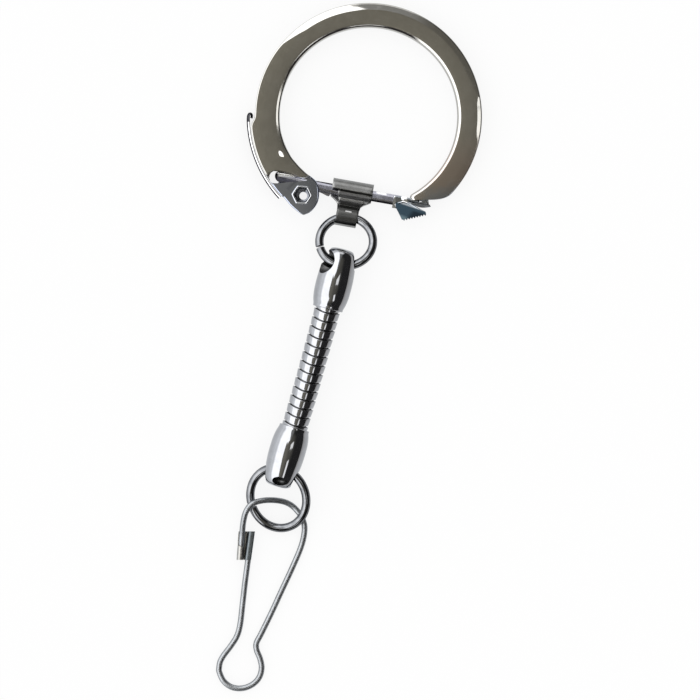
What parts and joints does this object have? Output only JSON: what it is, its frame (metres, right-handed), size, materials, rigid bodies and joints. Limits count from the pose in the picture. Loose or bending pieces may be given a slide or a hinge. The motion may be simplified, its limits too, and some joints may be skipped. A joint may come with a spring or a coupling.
{
  "type": "key clip",
  "caption": "Key clip: hinged flat ring with a latching gate, folded hanger, jump rings, a capped snake chain and a sprung wire snap hook.",
  "frame": {"origin": "middle of the clip's box, on the surface it lies on", "axes": "+Y towards the hinged ring, -Y towards the wire hook, +Z out of the front face, the clip lying on its back"},
  "size_m": [0.0392, 0.1012, 0.0054],
  "materials": {
    "ring_nickel": "bright nickel plate on pressed steel tube",
    "rivet_nickel": "bright nickel plate",
    "spring_steel": "bright spring strip",
    "bar_nickel": "nickel plate, lightly drawn",
    "latch_nickel": "dark nickel plate, pressed grip",
    "strap_nickel": "nickel plate on folded strip",
    "jump_ring_nickel": "bright nickel plated round wire",
    "cap_chrome": "mirror nickel plate",
    "hook_wire_steel": "drawn steel wire, bright",
    "catch_steel": "folded steel sheet, satin",
    "link_chrome": "mirror nickel plate"
  },
  "bodies": {
    "ring": {"ring_body": "ring_nickel", "hinge_rivet": "rivet_nickel", "leaf_spring": "spring_steel"},
    "gate": {"gate_bar": "bar_nickel", "latch_tab": "latch_nickel"},
    "hanger": {"hanger_strap": "strap_nickel"},
    "upper_ring": {"jump_ring_upper": "jump_ring_nickel"},
    "upper_cap": {"cap_upper": "cap_chrome", "link_01": "link_chrome"},
    "chain_02": {"link_02": "link_chrome"},
    "chain_03": {"link_03": "link_chrome"},
    "chain_04": {"link_04": "link_chrome"},
    "chain_05": {"link_05": "link_chrome"},
    "chain_06": {"link_06": "link_chrome"},
    "chain_07": {"link_07": "link_chrome"},
    "chain_08": {"link_08": "link_chrome"},
    "chain_09": {"link_09": "link_chrome"},
    "chain_10": {"link_10": "link_chrome"},
    "chain_11": {"link_11": "link_chrome"},
    "chain_12": {"link_12": "link_chrome"},
    "chain_13": {"link_13": "link_chrome"},
    "chain_14": {"link_14": "link_chrome"},
    "lower_cap": {"link_15": "link_chrome", "cap_lower": "cap_chrome"},
    "lower_ring": {"jump_ring_lower": "jump_ring_nickel"},
    "hook": {"hook_frame": "hook_wire_steel", "hook_catch": "catch_steel"},
    "hook_gate_arm": {"hook_gate": "hook_wire_steel"}
  },
  "joints": [
    {"name": "gate_hinge", "type": "hinge", "parent": "ring", "child": "gate", "pos_m": [-0.00691, 0.02239, 0.0014], "axis": [0, 0, -1], "range_deg": [0, 50], "stiffness_Nm_per_rad": 0.002},
    {"name": "hanger_swing", "type": "hinge", "parent": "gate", "child": "hanger", "pos_m": [0.00044, 0.02277, 0.0014], "axis": [-0.9848, 0.1736, 0], "range_deg": [-75, 75]},
    {"name": "upper_ring_tilt", "type": "hinge", "parent": "hanger", "child": "upper_ring", "pos_m": [-0.00032, 0.01898, 0.0014], "axis": [1, 0, 0], "range_deg": [-45, 45]},
    {"name": "upper_cap_slide", "type": "hinge", "parent": "upper_ring", "child": "upper_cap", "pos_m": [-0.00041, 0.01555, 0.00206], "axis": [0, 0.181, 0.9835], "range_deg": [-28, 28]},
    {"name": "bend_side_1", "type": "hinge", "parent": "upper_cap", "child": "chain_02", "pos_m": [-0.00325, 0.00525, 0.0027], "axis": [0, 0, 1], "range_deg": [-5, 5]},
    {"name": "bend_up_1", "type": "hinge", "parent": "chain_02", "child": "chain_03", "pos_m": [-0.00358, 0.00397, 0.0027], "axis": [-0.9667, 0.2559, 0], "range_deg": [-5, 5]},
    {"name": "bend_side_2", "type": "hinge", "parent": "chain_03", "child": "chain_04", "pos_m": [-0.00392, 0.00269, 0.0027], "axis": [0, 0, 1], "range_deg": [-5, 5]},
    {"name": "bend_up_2", "type": "hinge", "parent": "chain_04", "child": "chain_05", "pos_m": [-0.00426, 0.00141, 0.0027], "axis": [-0.9653, 0.261, 0], "range_deg": [-5, 5]},
    {"name": "bend_side_3", "type": "hinge", "parent": "chain_05", "child": "chain_06", "pos_m": [-0.00461, 0.00013, 0.0027], "axis": [0, 0, 1], "range_deg": [-5, 5]},
    {"name": "bend_up_3", "type": "hinge", "parent": "chain_06", "child": "chain_07", "pos_m": [-0.00496, -0.00115, 0.0027], "axis": [-0.964, 0.266, 0], "range_deg": [-5, 5]},
    {"name": "bend_side_4", "type": "hinge", "parent": "chain_07", "child": "chain_08", "pos_m": [-0.00531, -0.00243, 0.0027], "axis": [0, 0, 1], "range_deg": [-5, 5]},
    {"name": "bend_up_4", "type": "hinge", "parent": "chain_08", "child": "chain_09", "pos_m": [-0.00567, -0.00371, 0.0027], "axis": [-0.9626, 0.2711, 0], "range_deg": [-5, 5]},
    {"name": "bend_side_5", "type": "hinge", "parent": "chain_09", "child": "chain_10", "pos_m": [-0.00603, -0.00499, 0.0027], "axis": [0, 0, 1], "range_deg": [-5, 5]},
    {"name": "bend_up_5", "type": "hinge", "parent": "chain_10", "child": "chain_11", "pos_m": [-0.00639, -0.00627, 0.0027], "axis": [-0.9611, 0.2761, 0], "range_deg": [-5, 5]},
    {"name": "bend_side_6", "type": "hinge", "parent": "chain_11", "child": "chain_12", "pos_m": [-0.00676, -0.00754, 0.0027], "axis": [0, 0, 1], "range_deg": [-5, 5]},
    {"name": "bend_up_6", "type": "hinge", "parent": "chain_12", "child": "chain_13", "pos_m": [-0.00713, -0.00882, 0.0027], "axis": [-0.9597, 0.2811, 0], "range_deg": [-5, 5]},
    {"name": "bend_side_7", "type": "hinge", "parent": "chain_13", "child": "chain_14", "pos_m": [-0.0075, -0.01009, 0.0027], "axis": [0, 0, 1], "range_deg": [-5, 5]},
    {"name": "bend_up_7", "type": "hinge", "parent": "chain_14", "child": "lower_cap", "pos_m": [-0.00787, -0.01136, 0.0027], "axis": [-0.9582, 0.2862, 0], "range_deg": [-5, 5]},
    {"name": "lower_ring_tilt", "type": "hinge", "parent": "lower_cap", "child": "lower_ring", "pos_m": [-0.00999, -0.01837, 0.0027], "axis": [0.9809, -0.1755, 0.0842], "range_deg": [-20, 20]},
    {"name": "hook_slide", "type": "hinge", "parent": "lower_ring", "child": "hook", "pos_m": [-0.01039, -0.02214, 0.00178], "axis": [-0.1205, -0.2083, 0.9706], "range_deg": [-25, 25]},
    {"name": "hook_gate_flex", "type": "hinge", "parent": "hook", "child": "hook_gate_arm", "pos_m": [-0.01913, -0.04738, 0.00044], "axis": [0, 0, -1], "range_deg": [0, 12], "stiffness_Nm_per_rad": 0.001}
  ],
  "couplings": [
    {"joint": "bend_side_2", "follows": "bend_side_1", "ratio": 1},
    {"joint": "bend_side_3", "follows": "bend_side_1", "ratio": 1},
    {"joint": "bend_side_4", "follows": "bend_side_1", "ratio": 1},
    {"joint": "bend_side_5", "follows": "bend_side_1", "ratio": 1},
    {"joint": "bend_side_6", "follows": "bend_side_1", "ratio": 1},
    {"joint": "bend_side_7", "follows": "bend_side_1", "ratio": 1},
    {"joint": "bend_up_2", "follows": "bend_up_1", "ratio": 1},
    {"joint": "bend_up_3", "follows": "bend_up_1", "ratio": 1},
    {"joint": "bend_up_4", "follows": "bend_up_1", "ratio": 1},
    {"joint": "bend_up_5", "follows": "bend_up_1", "ratio": 1},
    {"joint": "bend_up_6", "follows": "bend_up_1", "ratio": 1},
    {"joint": "bend_up_7", "follows": "bend_up_1", "ratio": 1}
  ]
}
